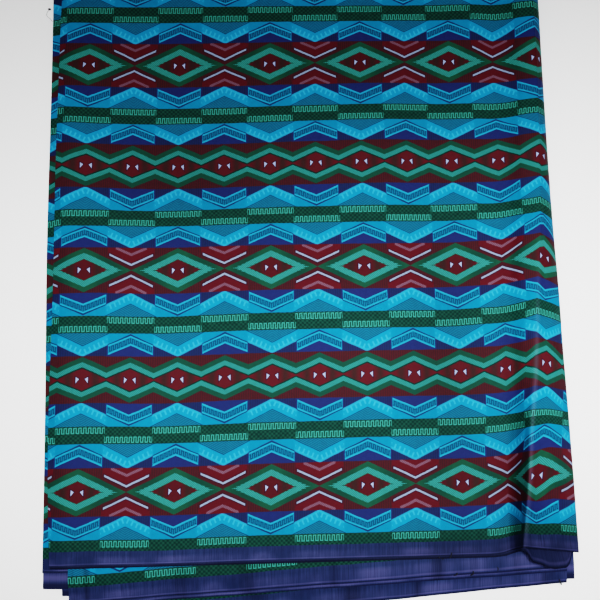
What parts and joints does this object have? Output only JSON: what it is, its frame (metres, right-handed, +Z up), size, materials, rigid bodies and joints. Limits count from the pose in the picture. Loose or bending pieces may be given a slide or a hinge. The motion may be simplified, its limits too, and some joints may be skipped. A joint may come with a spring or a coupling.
{
  "type": "folded wax print fabric",
  "caption": "Folded length of cotton wax print with bands of diamonds and zigzags, doubled selvedge to selvedge and folded to and fro, with a loose raised fold along a side.",
  "frame": {"origin": "centre of the pile's box in plan, on its flat underside", "axes": "+Z up out of the pile; +Y from the selvedges, which face the viewer, to the fold along the middle of the cloth; +X to the side with the raised fold"},
  "size_m": [0.4844, 0.6279, 0.04],
  "materials": {
    "wax_print": "printed cotton with a soft waxy sheen",
    "selvedge_cloth": "plain dyed cotton with a soft violet sheen"
  },
  "bodies": {
    "root": {"top_panel": "wax_print", "top_under_ply": "selvedge_cloth", "second_panel": "selvedge_cloth", "third_panel": "selvedge_cloth", "fourth_panel": "selvedge_cloth", "fifth_panel": "selvedge_cloth", "sixth_panel": "selvedge_cloth", "hidden_layers": "selvedge_cloth"}
  },
  "joints": []
}
